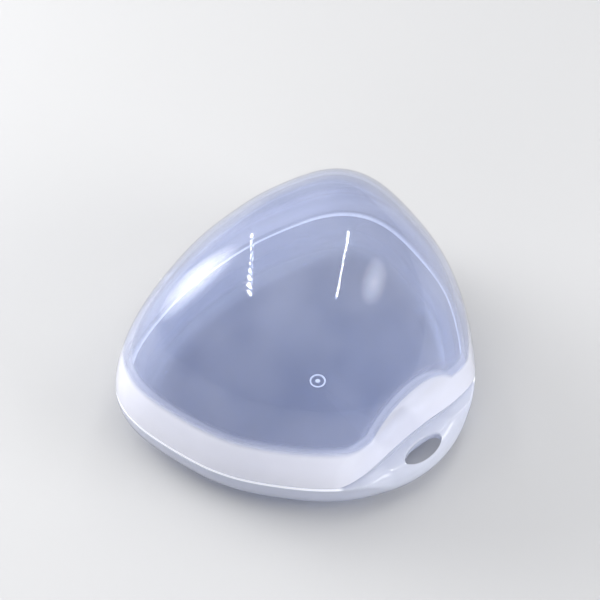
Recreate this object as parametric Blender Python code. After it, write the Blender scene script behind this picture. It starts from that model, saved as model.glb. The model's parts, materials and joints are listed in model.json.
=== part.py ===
"""Pacifier box: a shallow rounded triangular base with a strap tab, and a tall hinged dome lid."""
import math

import bmesh
import bpy
from mathutils import Matrix, Vector

# Plan outline: a circle with cosine lobes, which makes a rounded triangle
MEAN_RADIUS = 0.0400
LOBE_SHARES = (-0.049, 0.079, -0.010, -0.009, 0.014, -0.005, -0.0045, 0.0045)
OUTLINE_STEPS = 96

# Base bowl
BASE_DEPTH = 0.0110
BOWL_SIDE = 0.0020
FLOOR_WALL = 0.0018
RIM_WALL = 0.0036
RIM_ROUND = 0.0005
LAND_INSET = 0.0010
LAND_RISE = 0.0001
CAVITY_FILLET = 0.0060
FRONT_FILLET = 0.0030
FILLET_STEPS = 8
EDGE_STEPS = 5

# Locating collar of the base, which stands up inside the lid
COLLAR_INSET = 0.0022
COLLAR_HEIGHT = 0.0020
COLLAR_ROUND = 0.0003
COLLAR_FRONT_GAP = 0.0010

# Dome lid
SEAM_GAP = 0.0003
LID_HEIGHT = 0.0410
PLAN_POWER = 2.6
CROWN_POWER = 1.4
SKIRT_WALL = 0.0018
DOME_WALL = 0.0014
SKIRT_TOP = 0.0090
SKIRT_FADE = 0.0030
LID_EDGE_ROUND = 0.0004
DOME_STEPS = 17

# Front of the lid: an upright face, bowed in plan and hollowed for the thumb
FRONT_SETBACK = 0.0078
FRONT_BOW_RADIUS = 0.1100
FRONT_WALL = 0.0019
FRONT_SPAN_SHARE = 0.7
FRONT_COLUMNS = 15
FRONT_HALVINGS = 40
THUMB_HOLLOW = 0.0009
THUMB_MIDDLE = 0.0090
THUMB_TOP = 0.0260
THUMB_LEVELS = 10

# Catch: a rib inside the lid's front wall that clicks over a bead on the collar
CATCH_HALF_LENGTH = 0.0080
CATCH_HEIGHT = 0.0005
CATCH_COLUMNS = 12
RIB_REACH = 0.00025
RIB_FOOT = 0.0005
BEAD_REACH = 0.0003
BEAD_FOOT = 0.0013

# Strap tab in front of the lid
TAB_DROP = 0.0010
TAB_WALL = 0.0018
TAB_ROLL_WIDTH = 0.0040
TAB_ROLL_DROP = 0.0030
TAB_ROLL_START = math.radians(-15.0)
TAB_FULL_SHARE = 0.50
TAB_END_SHARE = 0.93
STEP_SETBACK = 0.0002
APRON_WALL = 0.0016
APRON_FOOT = 0.0042
APRON_CORNER = 0.0012
POCKET_SETBACK = 0.0018
POCKET_BOW_RADIUS = 0.0600
SLOT_SETBACK = 0.0039
SLOT_HALF_LENGTH = 0.0054
SLOT_HALF_WIDTH = 0.00225
SLOT_ROUND = 0.0003
SLOT_STEPS = 48

# Hinge at the back: a barrel with stub pins on the lid, two lugs on the base
BARREL_RADIUS = 0.0020
BARREL_HALF_LENGTH = 0.0077
BARREL_GAP = 0.0004
LUG_WIDTH = 0.0032
LUG_DROP = 0.0045
LUG_TOP_DROP = 0.0006
LUG_TURN_END = math.radians(-45.0)
LUG_SIDE_GAP = 0.0003
PIN_RADIUS = 0.0010
PIN_CLEARANCE = 0.0003
HINGE_STEPS = 20
PIN_STEPS = 24

# Moulding gate mark on the floor
GATE_BACK = 0.0030
GATE_RADIUS = 0.0019
GATE_BAND = 0.0003
GATE_NUB_RADIUS = 0.0005
GATE_RISE = 0.00035
GATE_DISC_RISE = 0.0001
GATE_STEPS = 24

# How far a cutter runs past a face, and a joined piece into its neighbour
OVERCUT = 0.0010
ROOT = 0.0008
WELD = 0.000002

SHARP_ANGLE = math.radians(32.0)
PLASTIC_COLOUR = (0.79, 0.83, 0.92, 1.0)
PLASTIC_ROUGHNESS = 0.16

# Heights that follow from the sizes above
SEAM = BASE_DEPTH
BOWL_FILLET = BASE_DEPTH - BOWL_SIDE
LEDGE = SEAM - SEAM_GAP / 2
LID_RIM = SEAM + SEAM_GAP / 2
RIM_TOP = LEDGE - LAND_RISE
TAB_TOP = LEDGE - TAB_DROP
TAB_UNDERSIDE = TAB_TOP - TAB_WALL
COLLAR_TOP = SEAM + COLLAR_HEIGHT


def outline_share(turn):
    """Reach of the outline over its mean radius; turn 0 is the front corner."""
    return 1.0 + sum(share * math.cos(lobe * turn) for lobe, share in enumerate(LOBE_SHARES, 2))


def quarter(steps, start=0.0):
    """Angles from the start to a right angle."""
    return [start + (math.pi / 2 - start) * step / steps for step in range(steps + 1)]


def bowl_arc(turn):
    """Inset and height of the bowl's fillet, from the floor at turn 0 to the side wall."""
    return BOWL_FILLET * (1 - math.sin(turn)), BOWL_FILLET * (1 - math.cos(turn))


# The tab's side: the bowl's fillet up to this turn, then a roll over to the tab's top
ROLL_MIDDLE = TAB_TOP - TAB_ROLL_DROP
TAB_BOWL_TURN = math.acos(1 - (ROLL_MIDDLE + TAB_ROLL_DROP * math.sin(TAB_ROLL_START)) / BOWL_FILLET)
ROLL_REACH = (TAB_ROLL_WIDTH - bowl_arc(TAB_BOWL_TURN)[0]) / math.cos(TAB_ROLL_START)


def tab_roll():
    """Insets and heights of the tab's roll, above where it leaves the bowl."""
    turns_up = quarter(EDGE_STEPS + 1, TAB_ROLL_START)[1:]
    return [(TAB_ROLL_WIDTH - ROLL_REACH * math.cos(turn), ROLL_MIDDLE + TAB_ROLL_DROP * math.sin(turn))
            for turn in turns_up]


# Places along Y, before the shift that centres the whole box
CORNER_REACH = MEAN_RADIUS * outline_share(0.0)
BACK_WALL = MEAN_RADIUS * outline_share(math.pi)
FRONT_FACE = CORNER_REACH - FRONT_SETBACK
INNER_FACE = FRONT_FACE - FRONT_WALL
COLLAR_FACE = INNER_FACE - COLLAR_FRONT_GAP
POCKET_FACE = FRONT_FACE - POCKET_SETBACK
HINGE_REACH = BACK_WALL + BARREL_GAP + BARREL_RADIUS
TAB_INSET = min(inset for inset, height in tab_roll())
TAB_REACH = (MEAN_RADIUS - TAB_INSET) * outline_share(0.0)
SHIFT = (TAB_REACH - HINGE_REACH - BARREL_RADIUS) / 2
HINGE_Y = SHIFT + HINGE_REACH


def front_end_turn():
    """Turn at which the lid's front face meets the outline."""
    low, high = 0.0, math.pi / 2
    for halving in range(FRONT_HALVINGS):
        turn = (low + high) / 2
        reach = MEAN_RADIUS * outline_share(turn)
        along = FRONT_FACE + (reach * math.sin(turn)) ** 2 / (2 * FRONT_BOW_RADIUS)
        if reach * math.cos(turn) > along:
            low = turn
        else:
            high = turn
    return low


FRONT_END_TURN = front_end_turn()


def clear_scene():
    for item in list(bpy.data.objects):
        bpy.data.objects.remove(item, do_unlink=True)


def new_collection(name):
    group = bpy.data.collections.new(name)
    bpy.context.scene.collection.children.link(group)
    return group


def plastic(name):
    material = bpy.data.materials.new(name)
    material.use_nodes = True
    shader = material.node_tree.nodes["Principled BSDF"]
    shader.inputs["Base Color"].default_value = PLASTIC_COLOUR
    shader.inputs["Roughness"].default_value = PLASTIC_ROUGHNESS
    shader.inputs["Metallic"].default_value = 0.0
    material.diffuse_color = PLASTIC_COLOUR
    return material


def turns(steps):
    return [2 * math.pi * step / steps for step in range(steps)]


def outline_point(turn, inset, height):
    reach = (MEAN_RADIUS - inset) * outline_share(turn)
    return Vector((reach * math.sin(turn), SHIFT - reach * math.cos(turn), height))


def outline_ring(inset, height):
    return [outline_point(turn, inset, height) for turn in turns(OUTLINE_STEPS)]


def round_ring(centre, across, along, height, steps):
    return [Vector((centre[0] + across * math.cos(turn), centre[1] + along * math.sin(turn), height))
            for turn in turns(steps)]


def loft(name, rings, group, tip=None):
    """Closed solid skinned through rings of equal length, ended by flat caps or by a tip."""
    built = bmesh.new()
    rows = [[built.verts.new(point) for point in ring] for ring in rings]
    count = len(rows[0])
    pairs = [(step, (step + 1) % count) for step in range(count)]
    for low, high in zip(rows, rows[1:]):
        for here, after in pairs:
            built.faces.new((low[here], low[after], high[after], high[here]))
    built.faces.new(rows[0])
    if tip is None:
        built.faces.new(rows[-1])
    else:
        top = built.verts.new(tip)
        for here, after in pairs:
            built.faces.new((rows[-1][here], rows[-1][after], top))
    bmesh.ops.recalc_face_normals(built, faces=built.faces)
    mesh = bpy.data.meshes.new(name)
    built.to_mesh(mesh)
    built.free()
    item = bpy.data.objects.new(name, mesh)
    group.objects.link(item)
    return item


def prism_along_x(name, profile, left, right, group):
    """Solid of one section in the YZ plane, carried from left to right."""
    return loft(name, [[Vector((x, y, z)) for y, z in profile] for x in (left, right)], group)


def boolean(target, tool, operation):
    modifier = target.modifiers.new(operation.title() + " " + tool.name, "BOOLEAN")
    modifier.operation = operation
    modifier.solver = "EXACT"
    modifier.object = tool


def finish(item, origin, material):
    """Keep the evaluated shape, put the origin in place and shade the piece."""
    depsgraph = bpy.context.evaluated_depsgraph_get()
    mesh = bpy.data.meshes.new_from_object(item.evaluated_get(depsgraph))
    mesh.name = item.name
    built = bmesh.new()
    built.from_mesh(mesh)
    bmesh.ops.remove_doubles(built, verts=built.verts, dist=WELD)
    bmesh.ops.dissolve_degenerate(built, edges=built.edges, dist=WELD)
    built.to_mesh(mesh)
    built.free()
    mesh.transform(Matrix.Translation(-origin))
    item.modifiers.clear()
    item.data = mesh
    item.location = origin
    mesh.shade_smooth()
    mesh.set_sharp_from_angle(angle=SHARP_ANGLE)
    mesh.materials.clear()
    mesh.materials.append(material)


def bow(face, radius, x):
    """Y of an upright face at one x: bowed in toward the middle of the box."""
    return SHIFT - face - x * x / (2 * radius)


def thumb_hollow(height):
    rise = (height - SEAM - THUMB_MIDDLE) / THUMB_MIDDLE
    return THUMB_HOLLOW * (1 - rise * rise)


def front_block(name, face, radius, levels, group):
    """Everything in front of a bowed face; a level is a height and the hollow there."""
    far = SHIFT - CORNER_REACH - OVERCUT
    span = MEAN_RADIUS * FRONT_SPAN_SHARE
    rings = []
    for height, hollow in levels:
        ring = [Vector((span, far, height)), Vector((-span, far, height))]
        for column in range(FRONT_COLUMNS):
            x = span * (2 * column / (FRONT_COLUMNS - 1) - 1)
            ring.append(Vector((x, bow(face, radius, x) + hollow, height)))
        rings.append(ring)
    return loft(name, rings, group)


def front_bar(name, face, root, reach, foot, group):
    """Small bar along the bowed front, from its root in the wall to its reach."""
    rings = []
    for column in range(CATCH_COLUMNS):
        x = CATCH_HALF_LENGTH * (2 * column / (CATCH_COLUMNS - 1) - 1)
        y = bow(face, FRONT_BOW_RADIUS, x)
        top = foot + CATCH_HEIGHT
        ring = [(y + root, foot), (y + reach, foot), (y + reach, top), (y + root, top)]
        rings.append([Vector((x, along, height)) for along, height in ring])
    return loft(name, rings, group)


def knuckle_profile(arc_start, arc_end, roots):
    """Section of a hinge knuckle: an arc about the hinge axis, closed by root points."""
    arc = []
    for step in range(HINGE_STEPS + 1):
        turn = arc_start + (arc_end - arc_start) * step / HINGE_STEPS
        arc.append((HINGE_Y + BARREL_RADIUS * math.cos(turn), SEAM + BARREL_RADIUS * math.sin(turn)))
    return arc + roots


def pin_profile(radius):
    return [(HINGE_Y + radius * math.cos(turn), SEAM + radius * math.sin(turn)) for turn in turns(PIN_STEPS)]


def dome_rings(height, wall):
    """Rings of the dome over its rim: steep at the skirt, round at the crown."""
    rings = []
    for step in list(range(1, DOME_STEPS)) + [DOME_STEPS - 0.5]:
        turn = math.pi / 2 * step / DOME_STEPS
        rise = height * math.sin(turn) ** (2 / CROWN_POWER)
        reach = (MEAN_RADIUS - wall(rise)) * math.cos(turn) ** (2 / PLAN_POWER)
        rings.append(outline_ring(MEAN_RADIUS - reach, SEAM + rise))
    return rings


def lid_wall(rise):
    """Wall of the lid: thicker in the skirt than in the dome."""
    share = min(max((rise - SKIRT_TOP) / SKIRT_FADE, 0.0), 1.0)
    return SKIRT_WALL + (DOME_WALL - SKIRT_WALL) * share


def thumb_levels():
    levels = []
    for level in range(THUMB_LEVELS + 1):
        height = LID_RIM + LID_EDGE_ROUND + THUMB_TOP * level / THUMB_LEVELS
        levels.append((height, thumb_hollow(height)))
    return levels


def lid_front_levels():
    """Levels of the lid's front face, with its lower edge rounded over."""
    levels = [(SEAM - OVERCUT, LID_EDGE_ROUND)]
    for turn in quarter(EDGE_STEPS)[:-1]:
        height = LID_RIM + LID_EDGE_ROUND * (1 - math.cos(turn))
        levels.append((height, thumb_hollow(height) + LID_EDGE_ROUND * (1 - math.sin(turn))))
    return levels + thumb_levels()


def build_lid(parts, cutters):
    rim = []
    for turn in quarter(EDGE_STEPS):
        rim.append(outline_ring(LID_EDGE_ROUND * (1 - math.sin(turn)),
                                LID_RIM + LID_EDGE_ROUND * (1 - math.cos(turn))))
    lid = loft("lid", rim + dome_rings(LID_HEIGHT, lambda rise: 0.0), parts,
               Vector((0.0, SHIFT, SEAM + LID_HEIGHT)))
    front = front_block("lid_front_cutter", FRONT_FACE, FRONT_BOW_RADIUS, lid_front_levels(), cutters)
    boolean(lid, front, "DIFFERENCE")

    roof = LID_HEIGHT - DOME_WALL
    skirt = [outline_ring(SKIRT_WALL, SEAM - OVERCUT), outline_ring(SKIRT_WALL, SEAM)]
    core = loft("lid_core_cutter", skirt + dome_rings(roof, lid_wall), cutters,
                Vector((0.0, SHIFT, SEAM + roof)))
    levels = [(SEAM - 2 * OVERCUT, 0.0)] + thumb_levels()
    core_front = front_block("lid_core_front_cutter", INNER_FACE, FRONT_BOW_RADIUS, levels, cutters)
    boolean(core, core_front, "DIFFERENCE")
    boolean(lid, core, "DIFFERENCE")

    foot = SEAM + RIB_FOOT
    rib = front_bar("lid_catch_rib", INNER_FACE, -ROOT, RIB_REACH + thumb_hollow(foot), foot, cutters)
    boolean(lid, rib, "UNION")

    root_y = SHIFT + BACK_WALL - ROOT
    start = math.pi - math.asin((LID_RIM - SEAM) / BARREL_RADIUS)
    roots = [(root_y, SEAM + BARREL_RADIUS), (root_y, LID_RIM)]
    section = knuckle_profile(start, 2 * math.pi + math.pi / 2, roots)
    barrel = prism_along_x("lid_barrel", section, -BARREL_HALF_LENGTH, BARREL_HALF_LENGTH, cutters)
    boolean(lid, barrel, "UNION")
    pin_end = BARREL_HALF_LENGTH + LUG_SIDE_GAP + LUG_WIDTH
    pins = prism_along_x("lid_stub_pins", pin_profile(PIN_RADIUS), -pin_end, pin_end, cutters)
    boolean(lid, pins, "UNION")
    finish(lid, Vector((0.0, HINGE_Y, SEAM)), plastic("lid_plastic"))


def tab_weight(turn):
    """One over the strap tab and zero along the plain rim, with a smooth change between."""
    away = min(turn, 2 * math.pi - turn)
    end = TAB_END_SHARE * FRONT_END_TURN
    full = TAB_FULL_SHARE * FRONT_END_TURN
    share = min(max((end - away) / (end - full), 0.0), 1.0)
    return share * share * (3 - 2 * share)


def blended_ring(plain, tab):
    """Ring whose inset and height pass from the plain rim to the strap tab."""
    ring = []
    for turn in turns(OUTLINE_STEPS):
        weight = tab_weight(turn)
        inset = plain[0] + weight * (tab[0] - plain[0])
        height = plain[1] + weight * (tab[1] - plain[1])
        ring.append(outline_point(turn, inset, height))
    return ring


def base_body(parts):
    rings = []
    for step in range(FILLET_STEPS + 1):
        share = step / FILLET_STEPS
        rings.append(blended_ring(bowl_arc(math.pi / 2 * share), bowl_arc(TAB_BOWL_TURN * share)))
    for turn, tab in zip(quarter(EDGE_STEPS), tab_roll()):
        plain = (RIM_ROUND * (1 - math.cos(turn)), RIM_TOP - RIM_ROUND * (1 - math.sin(turn)))
        rings.append(blended_ring(plain, tab))
    under_collar = (COLLAR_INSET + RIM_WALL) / 2
    tab_inner = MEAN_RADIUS - POCKET_FACE
    rings.append(blended_ring((under_collar, RIM_TOP), (tab_inner - ROOT, TAB_TOP)))
    rings.append(outline_ring(tab_inner, TAB_TOP))
    return loft("base", rings, parts)


def seat(cutters):
    """Land that the lid's rim rests on, all round and behind the strap tab."""
    rings = [outline_ring(LAND_INSET, TAB_TOP - ROOT), outline_ring(LAND_INSET, LEDGE)]
    block = loft("base_seat", rings, cutters)
    levels = [(TAB_TOP - 2 * ROOT, 0.0), (COLLAR_TOP, 0.0)]
    front = front_block("base_seat_cutter", FRONT_FACE - STEP_SETBACK, FRONT_BOW_RADIUS, levels, cutters)
    boolean(block, front, "DIFFERENCE")
    return block


def collar(cutters):
    rings = [outline_ring(COLLAR_INSET, LEDGE - ROOT), outline_ring(COLLAR_INSET, COLLAR_TOP - COLLAR_ROUND),
             outline_ring(COLLAR_INSET + COLLAR_ROUND, COLLAR_TOP)]
    block = loft("base_collar", rings, cutters)
    levels = [(LEDGE - 2 * ROOT, 0.0), (COLLAR_TOP - COLLAR_ROUND, 0.0),
              (COLLAR_TOP + COLLAR_ROUND, 2 * COLLAR_ROUND)]
    front = front_block("base_collar_cutter", COLLAR_FACE, FRONT_BOW_RADIUS, levels, cutters)
    boolean(block, front, "DIFFERENCE")
    return block


def cavity(cutters):
    rings = []
    for turn in quarter(FILLET_STEPS):
        rings.append(outline_ring(RIM_WALL + CAVITY_FILLET * (1 - math.sin(turn)),
                                  FLOOR_WALL + CAVITY_FILLET * (1 - math.cos(turn))))
    rings.append(outline_ring(RIM_WALL, COLLAR_TOP + OVERCUT))
    hollow = loft("base_cavity_cutter", rings, cutters)
    levels = [(FLOOR_WALL - OVERCUT, FRONT_FILLET)]
    for turn in quarter(FILLET_STEPS):
        levels.append((FLOOR_WALL + FRONT_FILLET * (1 - math.cos(turn)), FRONT_FILLET * (1 - math.sin(turn))))
    levels.append((COLLAR_TOP + 2 * OVERCUT, 0.0))
    face = COLLAR_FACE - (RIM_WALL - COLLAR_INSET)
    front = front_block("base_cavity_front_cutter", face, FRONT_BOW_RADIUS, levels, cutters)
    boolean(hollow, front, "DIFFERENCE")
    return hollow


def pocket(cutters):
    """Hollow under the strap tab, open at the ground, behind the apron that closes the tab's side."""
    foot_turn = math.acos(1 - APRON_FOOT / BOWL_FILLET)
    foot_inset = bowl_arc(foot_turn)[0] + APRON_WALL
    rings = [outline_ring(-OVERCUT, -OVERCUT), outline_ring(-OVERCUT, APRON_FOOT),
             outline_ring(foot_inset, APRON_FOOT), outline_ring(APRON_WALL, TAB_UNDERSIDE - APRON_CORNER),
             outline_ring(APRON_WALL + APRON_CORNER, TAB_UNDERSIDE)]
    hollow = loft("tab_pocket_cutter", rings, cutters)
    levels = [(-2 * OVERCUT, 0.0), (SEAM, 0.0)]
    wall = front_block("tab_pocket_face", POCKET_FACE, POCKET_BOW_RADIUS, levels, cutters)
    boolean(hollow, wall, "INTERSECT")
    return hollow


def slot(cutters):
    """Oval strap slot with softened rims."""
    levels = [(TAB_UNDERSIDE - APRON_CORNER, 0.0), (TAB_TOP - SLOT_ROUND, 0.0),
              (TAB_TOP - SLOT_ROUND / 2, SLOT_ROUND / 4), (TAB_TOP, SLOT_ROUND), (SEAM, 2 * SLOT_ROUND)]
    centre = (0.0, SHIFT - CORNER_REACH + SLOT_SETBACK)
    rings = []
    for height, flare in levels:
        across = SLOT_HALF_LENGTH + flare
        along = SLOT_HALF_WIDTH + flare
        rings.append(round_ring(centre, across, along, height, SLOT_STEPS))
    return loft("strap_slot_cutter", rings, cutters)


def gate_mark(cutters):
    """Low ring and nub that the injection gate leaves on the floor."""
    steps = [(GATE_RADIUS, -ROOT), (GATE_RADIUS, GATE_RISE), (GATE_RADIUS - GATE_BAND, GATE_RISE),
             (GATE_RADIUS - 2 * GATE_BAND, GATE_DISC_RISE), (GATE_NUB_RADIUS + GATE_BAND, GATE_DISC_RISE),
             (GATE_NUB_RADIUS, GATE_RISE)]
    centre = (0.0, SHIFT - GATE_BACK)
    rings = [round_ring(centre, radius, radius, FLOOR_WALL + rise, GATE_STEPS) for radius, rise in steps]
    return loft("floor_gate_mark", rings, cutters)


def build_base(parts, cutters):
    base = base_body(parts)
    boolean(base, seat(cutters), "UNION")
    boolean(base, collar(cutters), "UNION")
    boolean(base, cavity(cutters), "DIFFERENCE")
    boolean(base, pocket(cutters), "DIFFERENCE")
    boolean(base, slot(cutters), "DIFFERENCE")
    bead = front_bar("collar_catch_bead", COLLAR_FACE, ROOT, -BEAD_REACH, SEAM + BEAD_FOOT, cutters)
    boolean(base, bead, "UNION")
    boolean(base, gate_mark(cutters), "UNION")

    root_y = SHIFT + BACK_WALL - ROOT
    top = LEDGE - LUG_TOP_DROP
    start = math.pi + math.asin((SEAM - top) / BARREL_RADIUS)
    section = knuckle_profile(start, LUG_TURN_END, [(root_y, SEAM - LUG_DROP), (root_y, top)])
    bore = pin_profile(PIN_RADIUS + PIN_CLEARANCE)
    inner = BARREL_HALF_LENGTH + LUG_SIDE_GAP
    outer = inner + LUG_WIDTH
    for side, near, far in (("left", -outer, -inner), ("right", inner, outer)):
        boolean(base, prism_along_x("lug_" + side, section, near, far, cutters), "UNION")
    for side, near, far in (("left", -outer, -inner), ("right", inner, outer)):
        hole = prism_along_x("pin_hole_" + side, bore, near - LUG_SIDE_GAP, far + OVERCUT, cutters)
        boolean(base, hole, "DIFFERENCE")
    finish(base, Vector((0.0, 0.0, 0.0)), plastic("base_plastic"))


def main():
    clear_scene()
    parts = new_collection("pacifier_box")
    cutters = new_collection("cutters")
    build_lid(parts, cutters)
    build_base(parts, cutters)
    for item in cutters.objects:
        item.hide_render = True
        item.display_type = "WIRE"


main()
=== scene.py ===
"""Looks of the pacifier box: milky translucent dome lid and base, on a pale floor in soft light."""
import json
import math

import bpy
import numpy as np
from mathutils import Matrix, Vector


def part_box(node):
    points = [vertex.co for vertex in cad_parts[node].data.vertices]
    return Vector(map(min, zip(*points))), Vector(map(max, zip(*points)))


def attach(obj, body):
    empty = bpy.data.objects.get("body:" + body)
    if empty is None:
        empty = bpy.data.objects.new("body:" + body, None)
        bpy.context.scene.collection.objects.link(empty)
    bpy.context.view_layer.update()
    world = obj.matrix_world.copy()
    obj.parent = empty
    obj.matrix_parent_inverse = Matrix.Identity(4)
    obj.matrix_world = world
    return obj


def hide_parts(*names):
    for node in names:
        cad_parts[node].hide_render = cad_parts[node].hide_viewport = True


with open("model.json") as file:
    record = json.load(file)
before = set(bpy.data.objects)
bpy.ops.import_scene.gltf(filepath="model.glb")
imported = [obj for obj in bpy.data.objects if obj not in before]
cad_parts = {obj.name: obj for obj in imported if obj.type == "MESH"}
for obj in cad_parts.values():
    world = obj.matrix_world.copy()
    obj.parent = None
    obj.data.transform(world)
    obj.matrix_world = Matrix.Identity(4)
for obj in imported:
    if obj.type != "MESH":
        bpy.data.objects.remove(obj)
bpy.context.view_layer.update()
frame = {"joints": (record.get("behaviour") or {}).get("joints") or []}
lid_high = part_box("lid")[1]
hinge = Vector(frame["joints"][0]["pos_m"])

# Plan outline: a circle with cosine lobes
MEAN_RADIUS = 0.0400
LOBE_SHARES = (-0.049, 0.079, -0.010, -0.009, 0.014, -0.005, -0.0045, 0.0045)
FRONT_SECTOR = math.radians(36.0)
FRONT_TURNS = 160
REST_TURNS = 192

# Walls and edges
SEAM = hinge.z
SEAM_GAP = 0.0003
SKIRT_WALL = 0.0018
DOME_WALL = 0.0014
SKIRT_TOP = 0.0090
SKIRT_FADE = 0.0030
LID_EDGE_ROUND = 0.0004
LID_INNER_ROUND = 0.0003
PLAN_POWER = 2.6
CROWN_POWER = 1.4
LID_HEIGHT = lid_high.z - SEAM

# Front face of the lid
FRONT_SETBACK = 0.0078
FRONT_BOW_RADIUS = 0.1100
FRONT_WALL = 0.0019
THUMB_HOLLOW = 0.0009
THUMB_MIDDLE = 0.0090
CREASE = 0.0012
FOOT_CREASE = 0.0060
CREASE_TOP = 0.0170

# Base
BOWL_SIDE = 0.0020
FLOOR_WALL = 0.0018
RIM_WALL = 0.0036
RIM_ROUND = 0.0005
LAND_INSET = 0.0010
LAND_RISE = 0.0001
CAVITY_FILLET = 0.0060
FRONT_FILLET = 0.0030
COLLAR_INSET = 0.0022
COLLAR_HEIGHT = 0.0020
COLLAR_ROUND = 0.0003
COLLAR_FRONT_GAP = 0.0010
RISER_DRAFT = 0.0001

# Strap tab
TAB_DROP = 0.0010
TAB_WALL = 0.0018
TAB_ROLL_WIDTH = 0.0040
TAB_ROLL_DROP = 0.0030
TAB_ROLL_START = math.radians(-15.0)
TAB_FULL_SHARE = 0.50
TAB_END_SHARE = 0.93
STEP_SETBACK = 0.0002
APRON_WALL = 0.0016
APRON_FOOT = 0.0042
APRON_CORNER = 0.0012
POCKET_SETBACK = 0.0018
POCKET_BOW_RADIUS = 0.0600
SLOT_SETBACK = 0.0039
SLOT_HALF_LENGTH = 0.0054
SLOT_HALF_WIDTH = 0.00225
SLOT_ROUND = 0.0003

# Hinge
BARREL_RADIUS = 0.0020
BARREL_HALF_LENGTH = 0.0077
BARREL_GAP = 0.0004
LUG_WIDTH = 0.0032
LUG_DROP = 0.0045
LUG_TOP_DROP = 0.0006
LUG_TURN_END = math.radians(-45.0)
LUG_SIDE_GAP = 0.0003
PIN_RADIUS = 0.0010
PIN_CLEARANCE = 0.0003

# Moulding marks and the catch
GATE_BACK = 0.0030
GATE_RADIUS = 0.0019
GATE_BAND = 0.0003
GATE_NUB_RADIUS = 0.0005
GATE_RISE = 0.00035
GATE_DISC_RISE = 0.0001
CATCH_HALF_LENGTH = 0.0080
CATCH_HEIGHT = 0.0005
RIB_REACH = 0.00025
RIB_FOOT = 0.0005
BEAD_REACH = 0.0003
BEAD_FOOT = 0.0013

# Mesh counts and the reach of cutting tools
ROUND_STEPS = 6
ROLL_STEPS = 12
FILLET_STEPS = 14
SKIRT_LEVELS = 50
CROWN_LEVELS = 26
INNER_LEVELS = 40
RING_STEPS = 64
BAR_COLUMNS = 24
OVERCUT = 0.0010
ROOT = 0.0008
SHARP_ANGLE = math.radians(38.0)
CROWN_GAP = 0.35
FORWARD = 0.2
FAR_AWAY = 1.0

# Heights and places that follow
BOWL_FILLET = SEAM - BOWL_SIDE
LEDGE = SEAM - SEAM_GAP / 2
LID_RIM = SEAM + SEAM_GAP / 2
RIM_TOP = LEDGE - LAND_RISE
TAB_TOP = LEDGE - TAB_DROP
TAB_UNDERSIDE = TAB_TOP - TAB_WALL
COLLAR_TOP = SEAM + COLLAR_HEIGHT
CREST = 0.0225

# Camera fitted to the photograph: angles, distance, lens and the pixel it aims at
VIEW_AZIMUTH = math.radians(-43.9)
VIEW_ELEVATION = math.radians(52.8)
VIEW_DISTANCE = 0.4286
VIEW_LENS = 111.0
SENSOR = 36.0
FRAME_PIXELS = 600
ORIGIN_PIXEL = (308.9, 350.6)

# Lights: fills by place, size and power; lamps by the pixels where the lid mirrors their ends
FILLS = {"overhead": ((-0.05, -0.20, 0.90), 0.7, 2.2),
         "front_fill": ((0.34, -0.74, 0.36), 0.45, 5.2),
         "left_fill": ((-0.80, -0.30, 0.35), 0.4, 1.3)}
PATCHES = {"patch_left": ((166, 322), (240, 246), 0.52, 4.2),
           "patch_right": ((365, 305), (380, 256), 0.22, 0.5)}
LAMP_ROWS = {"row_left": ((252, 233), (248, 297)),
             "row_right": ((349, 232), (336, 300))}
LAMPS = 9
LAMP_SHARE = 0.55
LAMP_WIDTH = 0.008
ROW_POWER = 0.5
SOFT_PEAK = 3.0
LIGHT_DISTANCE = 0.6
PROBE = 6
SKY_COLOUR = (0.89, 0.90, 0.92, 1.0)
HORIZON = 0.22
ZENITH = 0.95

# Floor
FLOOR_COLOUR = (0.41, 0.41, 0.415, 1.0)
FLOOR_ROUGHNESS = 0.6
FLOOR_HALF_WIDTH = 3.0
FLOOR_DROP = 0.0002

# Plastic: opacity where clear and where milky, gloss and colours, and the colour and glow of painted
# highlights
LID_LOOK = {
    "window": 0.12, "band": 0.97, "rim": 0.30, "rough": 0.030, "translucent": 0.28,
    "thin_colour": (0.80, 0.82, 0.93), "thick_colour": (0.93, 0.92, 0.95),
    "tint": (0.80, 0.835, 0.915), "deep_tint": (0.60, 0.655, 0.80)}
BASE_LOOK = {
    "window": 0.19, "band": 0.95, "rim": 0.50, "rough": 0.08, "translucent": 0.30,
    "thin_colour": (0.66, 0.71, 0.86), "thick_colour": (0.68, 0.69, 0.74),
    "tint": (0.77, 0.81, 0.92), "deep_tint": (0.60, 0.66, 0.80)}
REFRACTION = 1.5
SPECULAR = 0.5
STRAIGHT_GLOSS = 0.04
GLOSS_POWER = 5.0
GLOSS_BLEND = 0.5
RIM_BLEND = 0.30
# Painted highlight: near-white colour and emission glow of the collar crest, rim lip and gate mark ring
PAINTED_HIGHLIGHT_COLOUR = (0.98, 0.98, 1.0)
PAINTED_GLOW = 1.0

# Where the plastic is milky, and where highlights are painted on the base's collar crest, rim lip and
# gate mark
SIDE_MILK = 0.70
# Painted highlight along the rim lip, fading out before the strap tab
LIP_HIGHLIGHT = 0.85
LIP_FADE = math.radians(8.0)
BAND_LEVEL = 0.0104
BAND_FADE = 0.0026
ARCH_RISE = 0.0075
ARCH_DEPTH = 0.0012
ARCH_HALF_LENGTH = 0.0125
FOOT_CLEAR = 0.0006
FOOT_MILKY = 0.0026
# Painted highlight band at the inner edge of the collar crest
EDGE_START = 1.54 * COLLAR_ROUND
EDGE_WHOLE = 0.8 * COLLAR_ROUND

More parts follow.
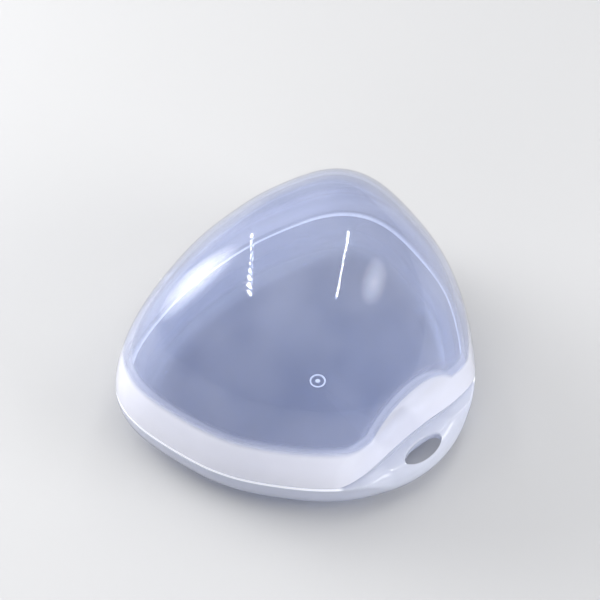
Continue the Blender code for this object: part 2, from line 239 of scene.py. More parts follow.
# Haze, grain and fine scratches
NOISE_LOW = 0.3
NOISE_HIGH = 0.7
HAZE = 0.03
HAZE_SCALE = 60.0
HAZE_DETAIL = 3.0
GRAIN_SCALE = 450.0
GRAIN_DETAIL = 4.0
SMOOTHER = 0.02
ROUGHER = 0.04
SCRATCH_TURN = (0.3, 0.2, 0.9)
SCRATCH_STRETCH = (9.0, 260.0, 60.0)
SCRATCH_SCALE = 4.0
SCRATCH_DETAIL = 2.0
SCRATCH_LOW = 0.72
SCRATCH_HIGH = 0.76
SCRATCH_DEPTH = 0.5
SCRATCH_ROUGH = 0.25
BUMP_STRENGTH = 0.02
BUMP_DISTANCE = 0.0003


def lobes(turn):
    total = np.ones_like(turn)
    for lobe, share in enumerate(LOBE_SHARES, 2):
        total = total + share * np.cos(lobe * turn)
    return total


def spaced_turns():
    """Turns round the outline, close together across the front."""
    front = np.linspace(-FRONT_SECTOR, FRONT_SECTOR, FRONT_TURNS, endpoint=False)
    rest = np.linspace(FRONT_SECTOR, 2 * math.pi - FRONT_SECTOR, REST_TURNS, endpoint=False)
    return np.concatenate([front, rest])


TURNS = spaced_turns()
SINES = np.sin(TURNS)
COSINES = np.cos(TURNS)
SHARES = lobes(TURNS)
CORNER_REACH = MEAN_RADIUS * float(lobes(np.array(0.0)))
BACK_WALL = MEAN_RADIUS * float(lobes(np.array(math.pi)))
SHIFT = hinge.y - BACK_WALL - BARREL_GAP - BARREL_RADIUS
FRONT_FACE = CORNER_REACH - FRONT_SETBACK
INNER_FACE = FRONT_FACE - FRONT_WALL
COLLAR_FACE = INNER_FACE - COLLAR_FRONT_GAP
CAVITY_FACE = COLLAR_FACE - (RIM_WALL - COLLAR_INSET)
POCKET_FACE = FRONT_FACE - POCKET_SETBACK


def plan_reach(inset):
    return (MEAN_RADIUS - inset) * SHARES


def face_reach(face, radius=FRONT_BOW_RADIUS):
    """Reach along each turn to an upright bowed face, or far away where there is none."""
    curve = SINES ** 2 / (2 * radius)
    root = COSINES ** 2 - 4 * curve * face
    meets = (root > 0) & (COSINES > FORWARD)
    reach = 2 * face / (np.maximum(COSINES, FORWARD) + np.sqrt(np.where(meets, root, 0.0)))
    return np.where(meets, reach, FAR_AWAY)


def nearer(first, second, blend):
    """The smaller reach, with the crease between them rounded."""
    if blend <= 0:
        return np.minimum(first, second)
    share = np.maximum(blend - np.abs(first - second), 0.0) / blend
    return np.minimum(first, second) - share * share * blend / 4


def ring(reach, height):
    """Points of one ring; reach and height may vary with the turn."""
    points = np.empty((len(TURNS), 3))
    points[:, 0] = reach * SINES
    points[:, 1] = SHIFT - reach * COSINES
    points[:, 2] = height
    return points


def quarter(steps, start=0.0):
    return [start + (math.pi / 2 - start) * step / steps for step in range(steps + 1)]


def thumb_hollow(height):
    rise = (height - SEAM - THUMB_MIDDLE) / THUMB_MIDDLE
    return THUMB_HOLLOW * (1 - rise * rise)


def skin(name, rings, start_tip=None, end_tip=None):
    """Mesh skinned through rings, each end closed by a tip or by one flat face."""
    count = len(rings[0])
    points = np.concatenate([np.asarray(r) for r in rings])
    here = np.arange(count)
    after = (here + 1) % count
    faces = []
    for row in range(len(rings) - 1):
        low = row * count
        high = low + count
        faces.extend(np.stack([low + here, low + after, high + after, high + here], 1).tolist())
    points = points.tolist()
    last = (len(rings) - 1) * count
    if start_tip is None:
        faces.append(list(range(count))[::-1])
    else:
        points.append(tuple(start_tip))
        tip = len(points) - 1
        faces.extend([[int(after[i]), int(here[i]), tip] for i in range(count)])
    if end_tip is None:
        faces.append(list(range(last, last + count)))
    else:
        points.append(tuple(end_tip))
        tip = len(points) - 1
        faces.extend([[last + int(here[i]), last + int(after[i]), tip] for i in range(count)])
    mesh = bpy.data.meshes.new(name)
    mesh.from_pydata(points, [], faces)
    mesh.validate()
    mesh.update()
    item = bpy.data.objects.new(name, mesh)
    bpy.context.scene.collection.objects.link(item)
    return item


def face_outward(item):
    """Turns the faces of a closed mesh outward."""
    mesh = item.data
    volume = 0.0
    for face in mesh.polygons:
        volume += face.center.dot(face.normal) * face.area
    if volume < 0:
        mesh.flip_normals()


def prism_along_x(name, profile, left, right):
    item = skin(name, [np.array([(x, y, z) for y, z in profile]) for x in (left, right)])
    face_outward(item)
    return item


def join(target, tool, operation):
    """Adds or cuts the tool at once, and removes it."""
    modifier = target.modifiers.new(operation, "BOOLEAN")
    modifier.operation = operation
    modifier.solver = "EXACT"
    modifier.object = tool
    depsgraph = bpy.context.evaluated_depsgraph_get()
    mesh = bpy.data.meshes.new_from_object(target.evaluated_get(depsgraph))
    target.modifiers.clear()
    target.data = mesh
    bpy.data.objects.remove(tool, do_unlink=True)


def fade(value, low, high):
    """One up to the low value, zero from the high value on, smooth between."""
    share = np.clip((high - value) / (high - low), 0.0, 1.0)
    return share * share * (3 - 2 * share)


def behind_face(x, y):
    """Distance behind the inner side of the lid's front face."""
    return y - SHIFT + x * x / (2 * FRONT_BOW_RADIUS) + INNER_FACE


def lid_milk(x, y, z):
    """Milkiness of the lid: its skirt band, which climbs the front face in an arch."""
    arch = fade(behind_face(x, y), ARCH_DEPTH, ARCH_DEPTH + BAND_FADE)
    arch = arch * np.maximum(1 - (x / ARCH_HALF_LENGTH) ** 2, 0.0)
    level = SEAM + BAND_LEVEL + ARCH_RISE * arch
    return SIDE_MILK * fade(z - level, -BAND_FADE / 2, BAND_FADE / 2)


def base_milk_and_highlights(x, y, z):
    """Milkiness of the base: its outer side, rim and tab are milky, its floor and inner wall clear;
    painted highlights lie on the collar crest, the rim lip and the gate mark ring.
    """
    turn = np.arctan2(x, SHIFT - y)
    inset = MEAN_RADIUS - np.hypot(x, y - SHIFT) / lobes(turn)
    rim = fade(inset, RIM_WALL - COLLAR_ROUND, RIM_WALL - COLLAR_ROUND / 2)
    inward = np.maximum(BOWL_FILLET - inset, 0.0)
    bowl = BOWL_FILLET - np.sqrt(np.maximum(BOWL_FILLET ** 2 - inward ** 2, 0.0))
    outside = fade(z - bowl, FLOOR_WALL / 4, FLOOR_WALL / 2) * (1 - fade(z, FOOT_CLEAR, FOOT_MILKY))
    tab = fade(behind_face(x, y), -STEP_SETBACK, STEP_SETBACK)
    # The gate mark's ring, painted white with a painted highlight and glow
    mark = fade(np.hypot(x, y - SHIFT + GATE_BACK), GATE_RADIUS, GATE_RADIUS + GATE_BAND)
    mark = mark * (1 - fade(z, FLOOR_WALL + GATE_DISC_RISE, FLOOR_WALL + GATE_RISE))
    # Painted highlight along the inner top edge of the collar
    crest = 1 - fade(z, COLLAR_TOP - 2 * COLLAR_ROUND, COLLAR_TOP - COLLAR_ROUND)
    crest = crest * (1 - fade(inset, RIM_WALL - EDGE_START, RIM_WALL - EDGE_WHOLE))
    # Painted highlight along the rim's outer edge, fading out before the strap tab
    tab_end = TAB_END_SHARE * front_end_turn()
    lip = fade(inset, RIM_ROUND, LAND_INSET) * (1 - fade(np.abs(turn), tab_end, tab_end + LIP_FADE))
    lip = lip * (1 - fade(z, RIM_TOP - RIM_ROUND, RIM_TOP - RIM_ROUND / 2))
    side = SIDE_MILK * np.maximum(np.maximum(rim, outside), tab)
    return np.maximum(np.maximum(side, LIP_HIGHLIGHT * lip), np.maximum(crest, mark))


def paint(item, milk_and_highlight):
    """Keeps the milkiness and the painted highlights of each point in the mesh, for the plastic to
    read.
    """
    mesh = item.data
    places = np.empty(3 * len(mesh.vertices))
    mesh.vertices.foreach_get("co", places)
    x, y, z = places.reshape(-1, 3).T
    layer = mesh.attributes.new("milk_and_highlight", "FLOAT", "POINT")
    layer.data.foreach_set("value", milk_and_highlight(x, y, z))


def settle(item, body, cad_node, material):
    """Smooth shading, material, and the CAD body and node that the piece stands for."""
    mesh = item.data
    mesh.shade_smooth()
    mesh.set_sharp_from_angle(angle=SHARP_ANGLE)
    mesh.materials.clear()
    mesh.materials.append(material)
    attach(item, body)
    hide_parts(cad_node)


def knuckle_profile(arc_start, arc_end, roots):
    arc = []
    for step in range(RING_STEPS + 1):
        turn = arc_start + (arc_end - arc_start) * step / RING_STEPS
        arc.append((hinge.y + BARREL_RADIUS * math.cos(turn), SEAM + BARREL_RADIUS * math.sin(turn)))
    return arc + roots


def pin_profile(radius):
    turns = [2 * math.pi * step / RING_STEPS for step in range(RING_STEPS)]
    return [(hinge.y + radius * math.cos(turn), SEAM + radius * math.sin(turn)) for turn in turns]


def bow(face, radius, x):
    return SHIFT - face - x * x / (2 * radius)


def front_bar(name, face, root, reach, foot):
    """Small bar along the bowed front."""
    rings = []
    top = foot + CATCH_HEIGHT
    for column in range(BAR_COLUMNS):
        x = CATCH_HALF_LENGTH * (2 * column / (BAR_COLUMNS - 1) - 1)
        y = bow(face, FRONT_BOW_RADIUS, x)
        corners = [(y + root, foot), (y + reach, foot), (y + reach, top), (y + root, top)]
        rings.append(np.array([(x, along, height) for along, height in corners]))
    item = skin(name, rings)
    face_outward(item)
    return item


def dome(height, rise, wall):
    """Reach of the dome at a rise above the seam."""
    share = max(1.0 - (max(rise, 0.0) / height) ** CROWN_POWER, 0.0) ** (1 / PLAN_POWER)
    return (MEAN_RADIUS - wall) * share * SHARES


def lid_wall(rise):
    share = min(max((rise - SKIRT_TOP) / SKIRT_FADE, 0.0), 1.0)
    share = share * share * (3 - 2 * share)
    return SKIRT_WALL + (DOME_WALL - SKIRT_WALL) * share


def crease(rise):
    """How widely the front face blends into the dome: most at the lid's foot."""
    share = min(max(rise / CREASE_TOP, 0.0), 1.0)
    return FOOT_CREASE + (CREASE - FOOT_CREASE) * share * share * (3 - 2 * share)


def outer_ring(rise, inset=0.0):
    face = face_reach(FRONT_FACE - thumb_hollow(SEAM + rise))
    return ring(nearer(dome(LID_HEIGHT, rise, 0.0), face, crease(rise)) - inset, SEAM + rise)


def inner_ring(rise, inset=0.0):
    roof = LID_HEIGHT - DOME_WALL
    face = face_reach(INNER_FACE - thumb_hollow(SEAM + rise))
    return ring(nearer(dome(roof, rise, lid_wall(rise)), face, crease(rise)) + inset, SEAM + rise)


def crown_rises(height, first, count):
    """Rises from the first up to just under the crown, evenly turned round the profile."""
    start = math.asin((first / height) ** (CROWN_POWER / 2))
    rises = []
    for step in range(count):
        turn = start + (math.pi / 2 - start) * (step + 1) / (count + CROWN_GAP)
        rises.append(height * math.sin(turn) ** (2 / CROWN_POWER))
    return rises


def build_lid(material):
    foot = SEAM_GAP / 2
    rings = []
    for turn in quarter(ROUND_STEPS):
        rise, inset = 1 - math.cos(turn), 1 - math.sin(turn)
        rings.append(outer_ring(foot + LID_EDGE_ROUND * rise, LID_EDGE_ROUND * inset))
    start = foot + LID_EDGE_ROUND
    for level in range(1, SKIRT_LEVELS + 1):
        rings.append(outer_ring(start + (CREST - start) * level / SKIRT_LEVELS))
    for rise in crown_rises(LID_HEIGHT, CREST, CROWN_LEVELS):
        rings.append(outer_ring(rise))
    roof = LID_HEIGHT - DOME_WALL
    inner = []
    for turn in quarter(ROUND_STEPS):
        rise, inset = 1 - math.cos(turn), 1 - math.sin(turn)
        inner.append(inner_ring(foot + LID_INNER_ROUND * rise, LID_INNER_ROUND * inset))
    start = foot + LID_INNER_ROUND
    for level in range(1, INNER_LEVELS + 1):
        inner.append(inner_ring(start + (CREST - start) * level / INNER_LEVELS))
    for rise in crown_rises(roof, CREST, CROWN_LEVELS):
        inner.append(inner_ring(rise))
    inner_crown, outer_crown = (0.0, SHIFT, SEAM + roof), (0.0, SHIFT, SEAM + LID_HEIGHT)
    lid = skin("lid_shell", inner[::-1] + rings, inner_crown, outer_crown)
    face_outward(lid)

    rib = SEAM + RIB_FOOT
    join(lid, front_bar("rib", INNER_FACE, -ROOT, RIB_REACH + thumb_hollow(rib), rib), "UNION")
    root_y = SHIFT + BACK_WALL - ROOT
    start = math.pi - math.asin((LID_RIM - SEAM) / BARREL_RADIUS)
    section = knuckle_profile(start, 2.5 * math.pi, [(root_y, SEAM + BARREL_RADIUS), (root_y, LID_RIM)])
    join(lid, prism_along_x("barrel", section, -BARREL_HALF_LENGTH, BARREL_HALF_LENGTH), "UNION")
    pin_end = BARREL_HALF_LENGTH + LUG_SIDE_GAP + LUG_WIDTH
    join(lid, prism_along_x("pins", pin_profile(PIN_RADIUS), -pin_end, pin_end), "UNION")
    paint(lid, lid_milk)
    settle(lid, "lid", "lid", material)
    return lid


def bowl_arc(turn):
    return BOWL_FILLET * (1 - math.sin(turn)), BOWL_FILLET * (1 - math.cos(turn))


def away_from_front():
    """Each turn's angle from the strap corner, to either side."""
    return np.where(TURNS > math.pi, 2 * math.pi - TURNS, np.abs(TURNS))


def front_end_turn():
    """Turn at which the lid's front face meets the outline."""
    inside = face_reach(FRONT_FACE) < plan_reach(0.0)
    return float(np.where(inside, away_from_front(), 0.0).max())


def tab_weights():
    away = away_from_front()
    end = TAB_END_SHARE * front_end_turn()
    full = TAB_FULL_SHARE * front_end_turn()
    share = np.clip((end - away) / (end - full), 0.0, 1.0)
    return share * share * (3 - 2 * share)


def blended(plain, tab, weights):
    inset = plain[0] + weights * (tab[0] - plain[0])
    height = plain[1] + weights * (tab[1] - plain[1])
    return ring((MEAN_RADIUS - inset) * SHARES, height)


def base_rings():
    """Rings of the base from under its floor, over its rim and collar, to the floor inside."""
    weights = tab_weights()
    middle = TAB_TOP - TAB_ROLL_DROP
    bowl_turn = math.acos(1 - (middle + TAB_ROLL_DROP * math.sin(TAB_ROLL_START)) / BOWL_FILLET)
    reach = (TAB_ROLL_WIDTH - bowl_arc(bowl_turn)[0]) / math.cos(TAB_ROLL_START)
    rings = []
    for step in range(FILLET_STEPS + 1):
        share = step / FILLET_STEPS
        rings.append(blended(bowl_arc(math.pi / 2 * share), bowl_arc(bowl_turn * share), weights))
    rolls = quarter(ROLL_STEPS, TAB_ROLL_START)[1:]
    for turn, roll in zip(quarter(ROLL_STEPS - 1), rolls):
        plain = (RIM_ROUND * (1 - math.cos(turn)), RIM_TOP - RIM_ROUND * (1 - math.sin(turn)))
        tab = (TAB_ROLL_WIDTH - reach * math.cos(roll), middle + TAB_ROLL_DROP * math.sin(roll))
        rings.append(blended(plain, tab, weights))
    step_top = nearer(plan_reach(LAND_INSET), face_reach(FRONT_FACE - STEP_SETBACK), FOOT_CREASE)
    rings.append(ring(step_top + RISER_DRAFT, RIM_TOP + weights * (TAB_TOP - RIM_TOP)))
    rings.append(ring(step_top, LEDGE))
    wall = nearer(plan_reach(COLLAR_INSET), face_reach(COLLAR_FACE), FOOT_CREASE)
    rings.append(ring(wall, LEDGE))
    for turn in quarter(ROUND_STEPS):
        inset = COLLAR_ROUND * (1 - math.cos(turn))
        rings.append(ring(wall - inset, COLLAR_TOP - COLLAR_ROUND * (1 - math.sin(turn))))
    inner = nearer(plan_reach(RIM_WALL), face_reach(CAVITY_FACE), FOOT_CREASE)
    for turn in quarter(ROUND_STEPS)[::-1]:
        inset = COLLAR_ROUND * (1 - math.cos(turn))
        rings.append(ring(inner + inset, COLLAR_TOP - COLLAR_ROUND * (1 - math.sin(turn))))
    rings.append(ring(inner, COLLAR_TOP - 2 * COLLAR_ROUND))
    for turn in quarter(FILLET_STEPS)[::-1]:
        side = plan_reach(RIM_WALL + CAVITY_FILLET * (1 - math.sin(turn)))
        front_turn = math.acos(1 - min(CAVITY_FILLET * (1 - math.cos(turn)) / FRONT_FILLET, 1.0))
        front = face_reach(CAVITY_FACE - FRONT_FILLET * (1 - math.sin(front_turn)))
        height = FLOOR_WALL + CAVITY_FILLET * (1 - math.cos(turn))
        rings.append(ring(nearer(side, front, FOOT_CREASE), height))
    return rings


def oval(centre, across, along, height):
    turns = [2 * math.pi * step / RING_STEPS for step in range(RING_STEPS)]
    return np.array([(centre[0] + across * math.cos(turn), centre[1] + along * math.sin(turn), height)
                     for turn in turns])


def pocket():
    """Hollow under the strap tab, in front of the pocket's wall."""
    foot_inset = bowl_arc(math.acos(1 - APRON_FOOT / BOWL_FILLET))[0] + APRON_WALL
    levels = [(-OVERCUT, -OVERCUT), (-OVERCUT, APRON_FOOT), (foot_inset, APRON_FOOT),
              (APRON_WALL, TAB_UNDERSIDE - APRON_CORNER), (APRON_WALL + APRON_CORNER, TAB_UNDERSIDE)]
    hollow = skin("pocket", [ring(plan_reach(inset), height) for inset, height in levels])
    face_outward(hollow)
    far = SHIFT - CORNER_REACH - 2 * OVERCUT
    span = MEAN_RADIUS
    rings = []
    for height in (-2 * OVERCUT, SEAM):
        outline = [(span, far, height), (-span, far, height)]
        for column in range(BAR_COLUMNS):
            x = span * (2 * column / (BAR_COLUMNS - 1) - 1)
            outline.append((x, max(bow(POCKET_FACE, POCKET_BOW_RADIUS, x), far + OVERCUT / 2), height))
        rings.append(np.array(outline))
    block = skin("pocket_block", rings)
    face_outward(block)
    join(hollow, block, "INTERSECT")
    return hollow


def slot():
    levels = [(TAB_UNDERSIDE - APRON_CORNER, 0.0)]
    for turn in quarter(ROUND_STEPS):
        levels.append((TAB_TOP - SLOT_ROUND * math.cos(turn), SLOT_ROUND * (1 - math.cos(turn))))
    levels.append((SEAM, 2 * SLOT_ROUND))
    centre = (0.0, SHIFT - CORNER_REACH + SLOT_SETBACK)
    rings = [oval(centre, SLOT_HALF_LENGTH + flare, SLOT_HALF_WIDTH + flare, height)
             for height, flare in levels]
    item = skin("slot", rings)
    face_outward(item)
    return item


def gate_mark():
    steps = [(GATE_RADIUS, -ROOT), (GATE_RADIUS, GATE_RISE),
             (GATE_RADIUS - GATE_BAND, GATE_RISE), (GATE_RADIUS - 2 * GATE_BAND, GATE_DISC_RISE),
             (GATE_NUB_RADIUS + GATE_BAND, GATE_DISC_RISE), (GATE_NUB_RADIUS, GATE_RISE)]
    centre = (0.0, SHIFT - GATE_BACK)
    item = skin("gate", [oval(centre, radius, radius, FLOOR_WALL + rise) for radius, rise in steps])
    face_outward(item)
    return item


def build_base(material):
    base = skin("base_shell", base_rings(), (0.0, SHIFT, 0.0), (0.0, SHIFT, FLOOR_WALL))
    face_outward(base)
    join(base, pocket(), "DIFFERENCE")
    join(base, slot(), "DIFFERENCE")
    join(base, front_bar("bead", COLLAR_FACE, ROOT, -BEAD_REACH, SEAM + BEAD_FOOT), "UNION")
    join(base, gate_mark(), "UNION")
    root_y = SHIFT + BACK_WALL - ROOT
    top = LEDGE - LUG_TOP_DROP
    start = math.pi + math.asin((SEAM - top) / BARREL_RADIUS)
    section = knuckle_profile(start, LUG_TURN_END, [(root_y, SEAM - LUG_DROP), (root_y, top)])
    inner = BARREL_HALF_LENGTH + LUG_SIDE_GAP
    outer = inner + LUG_WIDTH
    for near, far in ((-outer, -inner), (inner, outer)):
        join(base, prism_along_x("lug", section, near, far), "UNION")
    for near, far in ((-outer, -inner), (inner, outer)):
        bore = pin_profile(PIN_RADIUS + PIN_CLEARANCE)
        join(base, prism_along_x("bore", bore, near - LUG_SIDE_GAP, far + OVERCUT), "DIFFERENCE")
    paint(base, base_milk_and_highlights)
    settle(base, "base", "base", material)
    return base


def node(tree, kind, **values):
    made = tree.nodes.new(kind)
    for name, value in values.items():
        setattr(made, name, value)
    return made


def map_range(tree, source, low, high, to_low, to_high):
    made = node(tree, "ShaderNodeMapRange", interpolation_type="SMOOTHSTEP")
    made.inputs["From Min"].default_value = low
    made.inputs["From Max"].default_value = high
    made.inputs["To Min"].default_value = to_low
    made.inputs["To Max"].default_value = to_high
    tree.links.new(source, made.inputs["Value"])
    return made.outputs["Result"]


def calculate(tree, operation, *values, clamp=False):
    """Math node whose inputs are numbers or other nodes' outputs."""
    made = node(tree, "ShaderNodeMath", operation=operation, use_clamp=clamp)
    for socket, value in zip(made.inputs, values):
        if isinstance(value, (int, float)):
            socket.default_value = value
        else:
            tree.links.new(value, socket)
    return made.outputs[0]


def blend_colours(tree, share, first, second):
    """Mix of two colours, each a plain colour or another node's output."""
    made = node(tree, "ShaderNodeMix", data_type="RGBA")
    tree.links.new(share, made.inputs[0])
    for socket, colour in ((made.inputs[6], first), (made.inputs[7], second)):
        if isinstance(colour, tuple):
            socket.default_value = (*colour, 1.0)
        else:
            tree.links.new(colour, socket)
    return made.outputs[2]


def blend_shaders(tree, share, first, second):
    made = node(tree, "ShaderNodeMixShader")
    if isinstance(share, float):
        made.inputs["Fac"].default_value = share
    else:
        tree.links.new(share, made.inputs["Fac"])
    tree.links.new(first, made.inputs[1])
    tree.links.new(second, made.inputs[2])
    return made.outputs[0]


def noise(tree, place, scale, detail):
    made = node(tree, "ShaderNodeTexNoise")
    made.inputs["Scale"].default_value = scale
    made.inputs["Detail"].default_value = detail
    tree.links.new(place, made.inputs["Vector"])
    return made.outputs["Fac"]


def clarity(tree, milkiness_and_highlight, facing, place, look):
    """How much of the light passes straight through: less where milky, hazy or seen at a slant."""
    cloud = noise(tree, place, HAZE_SCALE, HAZE_DETAIL)
    haze = map_range(tree, cloud, NOISE_LOW, NOISE_HIGH, -HAZE, HAZE)
    opacity = map_range(tree, milkiness_and_highlight, 0.0, 1.0, look["window"], look["band"])
    opacity = calculate(tree, "ADD", opacity, haze, clamp=True)
    grazing = calculate(tree, "MULTIPLY", facing, look["rim"])
    clear = calculate(tree, "SUBTRACT", 1.0, opacity)
    left = calculate(tree, "SUBTRACT", 1.0, grazing)
    return calculate(tree, "MULTIPLY", clear, left, clamp=True)


def worn_surface(tree, place, look):
    """Roughness and bumped normal of the moulded surface, with grain and fine scratches."""
    grain = noise(tree, place, GRAIN_SCALE, GRAIN_DETAIL)
    stretched = node(tree, "ShaderNodeMapping")
    stretched.inputs["Rotation"].default_value = SCRATCH_TURN
    stretched.inputs["Scale"].default_value = SCRATCH_STRETCH
    tree.links.new(place, stretched.inputs["Vector"])
    streak = noise(tree, stretched.outputs[0], SCRATCH_SCALE, SCRATCH_DETAIL)
    scratch = map_range(tree, streak, SCRATCH_LOW, SCRATCH_HIGH, 0.0, 1.0)
    bump = node(tree, "ShaderNodeBump")
    bump.inputs["Strength"].default_value = BUMP_STRENGTH
    bump.inputs["Distance"].default_value = BUMP_DISTANCE
    relief = calculate(tree, "MULTIPLY_ADD", scratch, -SCRATCH_DEPTH, grain)
    tree.links.new(relief, bump.inputs["Height"])
    smooth, dull = look["rough"] - SMOOTHER, look["rough"] + ROUGHER
    rough = map_range(tree, grain, NOISE_LOW, NOISE_HIGH, smooth, dull)
    rough = calculate(tree, "ADD", rough, calculate(tree, "MULTIPLY", scratch, SCRATCH_ROUGH))
    return rough, bump.outputs["Normal"]


def mirror_share(tree, normal):
    """Share of light mirrored by the surface, rising towards grazing angles."""
    edge = node(tree, "ShaderNodeLayerWeight")
    edge.inputs["Blend"].default_value = GLOSS_BLEND
    tree.links.new(normal, edge.inputs["Normal"])
    steep = calculate(tree, "POWER", edge.outputs["Facing"], GLOSS_POWER)
    return calculate(tree, "MULTIPLY_ADD", steep, 1 - STRAIGHT_GLOSS, STRAIGHT_GLOSS)


def milky_plastic(name, look):
    """Milky translucent polypropylene: hazy where the wall is thin, paler in its thick edges; painted
    highlights glow near-white at the collar crest, rim lip and gate mark.
    """
    material = bpy.data.materials.new(name)
    material.use_nodes = True
    tree = material.node_tree
    tree.nodes.clear()
    place = node(tree, "ShaderNodeTexCoord").outputs["Object"]
    # Milkiness, and at its top range the painted highlights
    milkiness_and_highlight = node(tree, "ShaderNodeAttribute", attribute_name="milk_and_highlight").outputs["Fac"]
    rim = node(tree, "ShaderNodeLayerWeight")
    rim.inputs["Blend"].default_value = RIM_BLEND
    facing = rim.outputs["Facing"]
    clear = clarity(tree, milkiness_and_highlight, facing, place, look)
    rough, normal = worn_surface(tree, place, look)

    # Painted highlight: above the side's milkiness the colour turns near-white
    painted_highlight = map_range(tree, milkiness_and_highlight, SIDE_MILK, 1.0, 0.0, 1.0)
    tone = blend_colours(tree, milkiness_and_highlight, look["thin_colour"], look["thick_colour"])
    tone_with_painted_highlight = blend_colours(tree, painted_highlight, tone, PAINTED_HIGHLIGHT_COLOUR)
    body = node(tree, "ShaderNodeBsdfPrincipled")
    body.inputs["IOR"].default_value = REFRACTION
    body.inputs["Specular IOR Level"].default_value = SPECULAR
    # Painted glow: emission in the painted highlight colour, as strong as the painted highlight
    body.inputs["Emission Color"].default_value = (*PAINTED_HIGHLIGHT_COLOUR, 1.0)
    tree.links.new(calculate(tree, "MULTIPLY", painted_highlight, PAINTED_GLOW), body.inputs["Emission Strength"])
    tree.links.new(tone_with_painted_highlight, body.inputs["Base Color"])
    tree.links.new(rough, body.inputs["Roughness"])
    tree.links.new(normal, body.inputs["Normal"])
    through = node(tree, "ShaderNodeBsdfTranslucent")
    tree.links.new(tone_with_painted_highlight, through.inputs["Color"])
    milk_and_highlight = blend_shaders(tree, look["translucent"], body.outputs[0], through.outputs[0])

    see = node(tree, "ShaderNodeBsdfTransparent")
    tree.links.new(blend_colours(tree, facing, look["tint"], look["deep_tint"]), see.inputs["Color"])
    gloss = node(tree, "ShaderNodeBsdfGlossy")
    tree.links.new(rough, gloss.inputs["Roughness"])
    tree.links.new(normal, gloss.inputs["Normal"])
    solid = calculate(tree, "SUBTRACT", 1.0, clear, clamp=True)
    inside = blend_shaders(tree, solid, see.outputs[0], milk_and_highlight)
    surface = blend_shaders(tree, mirror_share(tree, normal), inside, gloss.outputs[0])
    output = node(tree, "ShaderNodeOutputMaterial")
    tree.links.new(surface, output.inputs["Surface"])
    return material


def floor_material():
    material = bpy.data.materials.new("pale_floor")
    material.use_nodes = True
    shader = material.node_tree.nodes["Principled BSDF"]
    shader.inputs["Base Color"].default_value = FLOOR_COLOUR
    shader.inputs["Roughness"].default_value = FLOOR_ROUGHNESS
    return material


def build_stage():
    side = FLOOR_HALF_WIDTH
    corners = [(-side, -side, 0.0), (side, -side, 0.0), (side, side, 0.0), (-side, side, 0.0)]
    mesh = bpy.data.meshes.new("floor")
    mesh.from_pydata(corners, [], [(0, 1, 2, 3)])
    floor = bpy.data.objects.new("floor", mesh)
    bpy.context.scene.collection.objects.link(floor)
    mesh.materials.append(floor_material())
    floor.location.z = -FLOOR_DROP


def area_light(name, place, target, width, height, power):
    data = bpy.data.lights.new(name, "AREA")
    data.shape = "RECTANGLE"
    data.size = width
    data.size_y = height
    data.energy = power
    item = bpy.data.objects.new(name, data)
    item.location = place
    item.rotation_mode = "QUATERNION"
    item.rotation_quaternion = (Vector(target) - Vector(place)).to_track_quat("-Z", "Y")
    bpy.context.scene.collection.objects.link(item)
    return item


def camera_frame():
    """Camera place, and its right, up and back directions."""
    back = Vector((math.sin(VIEW_AZIMUTH) * math.cos(VIEW_ELEVATION),
                   -math.cos(VIEW_AZIMUTH) * math.cos(VIEW_ELEVATION), math.sin(VIEW_ELEVATION)))
    right = Vector((math.cos(VIEW_AZIMUTH), math.sin(VIEW_AZIMUTH), 0.0))
    return Vector((0.0, SHIFT, SEAM)) + back * VIEW_DISTANCE, right, back.cross(right), back


def camera_ray(across, down):
    """Direction from the camera through a pixel of the picture."""
    place, right, up, back = camera_frame()
    focal = VIEW_LENS / SENSOR * FRAME_PIXELS
    aside, above = across - ORIGIN_PIXEL[0], ORIGIN_PIXEL[1] - down
    return (right * aside + up * above - back * focal).normalized()


def mirrored(item, pixel):
    """Place on the piece seen at a pixel, and where its surface mirrors the camera's ray to."""
    place = camera_frame()[0]
    across, down = pixel
    seen = [item.ray_cast(place, camera_ray(across + step_x, down + step_y))[1]
            for step_x, step_y in ((0, 0), (-PROBE, 0), (PROBE, 0), (0, PROBE), (0, -PROBE))]
    normal = (seen[2] - seen[1]).cross(seen[4] - seen[3]).normalized()
    return seen[0], camera_ray(across, down).reflect(normal)


def strip_light(name, item, start_pixel, end_pixel, width, power):
    """Strip light whose reflection on the piece runs from one pixel to the other."""
    start_point, start_ray = mirrored(item, start_pixel)
    end_point, end_ray = mirrored(item, end_pixel)
    start = start_point + start_ray * LIGHT_DISTANCE
    end = end_point + end_ray * LIGHT_DISTANCE
    middle = (start + end) / 2
    facing = (middle - (start_point + end_point) / 2).normalized()
    along = end - start
    length = along.length
    along = (along - facing * along.dot(facing)).normalized()
    side = along.cross(facing)
    light = area_light(name, middle, middle - facing, width, length, power)
    light.rotation_quaternion = Matrix((side, along, facing)).transposed().to_quaternion()
    return light


def soften(light):
    """Lets a light's brightness fall from its middle to nothing at its edge."""
    light.data.shape = "ELLIPSE"
    light.data.use_nodes = True
    tree = light.data.node_tree
    emission = tree.nodes["Emission"]
    place = node(tree, "ShaderNodeNewGeometry")
    centred = node(tree, "ShaderNodeMapping")
    centred.inputs["Location"].default_value = (-1.0, -1.0, 0.0)
    centred.inputs["Scale"].default_value = (2.0, 2.0, 0.0)
    cone = node(tree, "ShaderNodeTexGradient", gradient_type="SPHERICAL")
    tree.links.new(place.outputs["Parametric"], centred.inputs["Vector"])
    tree.links.new(centred.outputs[0], cone.inputs["Vector"])
    strength = calculate(tree, "MULTIPLY", cone.outputs["Fac"], SOFT_PEAK)
    tree.links.new(strength, emission.inputs["Strength"])


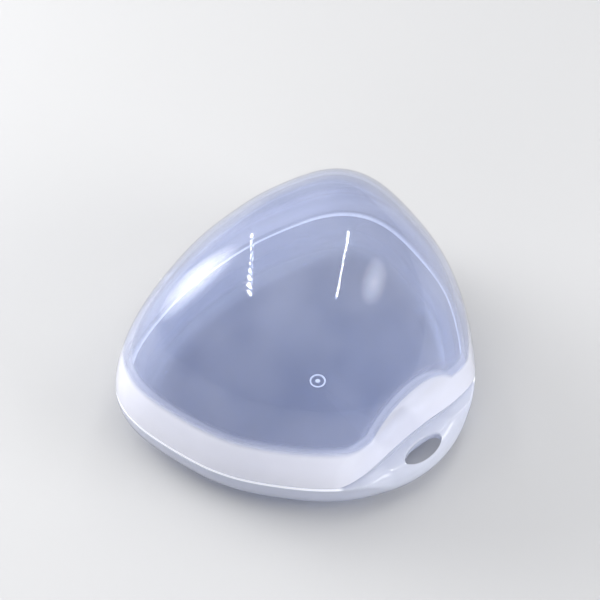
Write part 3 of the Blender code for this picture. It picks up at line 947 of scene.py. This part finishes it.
def lamp_row(name, item, start_pixel, end_pixel):
    """Row of small lamps whose reflections on the piece lie on a straight line in the picture."""
    start = Vector(start_pixel)
    step = (Vector(end_pixel) - start) / LAMPS
    for lamp in range(LAMPS):
        near = start + step * lamp
        far = near + step * LAMP_SHARE
        strip_light(f"{name}_{lamp}", item, near, far, LAMP_WIDTH, ROW_POWER / LAMPS)


def build_sky():
    """Soft studio surroundings, darker towards the horizon."""
    world = bpy.data.worlds.new("studio")
    bpy.context.scene.world = world
    world.use_nodes = True
    tree = world.node_tree
    background = tree.nodes["Background"]
    background.inputs["Color"].default_value = SKY_COLOUR
    split = node(tree, "ShaderNodeSeparateXYZ")
    tree.links.new(node(tree, "ShaderNodeTexCoord").outputs["Generated"], split.inputs[0])
    sky = map_range(tree, split.outputs["Z"], 0.0, 1.0, HORIZON, ZENITH)
    tree.links.new(sky, background.inputs["Strength"])


def build_lights(lid):
    for name, (place, size, power) in FILLS.items():
        fill = area_light(name, place, (0.0, 0.0, SEAM), size, size, power)
        fill.visible_glossy = False
    for name, (start_pixel, end_pixel, width, power) in PATCHES.items():
        soften(strip_light(name, lid, start_pixel, end_pixel, width, power))
    for name, (start_pixel, end_pixel) in LAMP_ROWS.items():
        lamp_row(name, lid, start_pixel, end_pixel)


def build_camera():
    """Camera of the fit; a small shift frames the picture."""
    place, right, up, back = camera_frame()
    data = bpy.data.cameras.new("camera")
    data.lens = VIEW_LENS
    data.sensor_width = SENSOR
    data.shift_x = (FRAME_PIXELS / 2 - ORIGIN_PIXEL[0]) / FRAME_PIXELS
    data.shift_y = (ORIGIN_PIXEL[1] - FRAME_PIXELS / 2) / FRAME_PIXELS
    camera = bpy.data.objects.new("camera", data)
    camera.location = place
    camera.rotation_mode = "QUATERNION"
    camera.rotation_quaternion = (-back).to_track_quat("-Z", "Y")
    bpy.context.scene.collection.objects.link(camera)
    bpy.context.scene.camera = camera


bpy.context.scene.view_settings.view_transform = "Standard"
lid = build_lid(milky_plastic("milky_lid", LID_LOOK))
build_base(milky_plastic("milky_base", BASE_LOOK))
build_stage()
build_sky()
build_lights(lid)
build_camera()
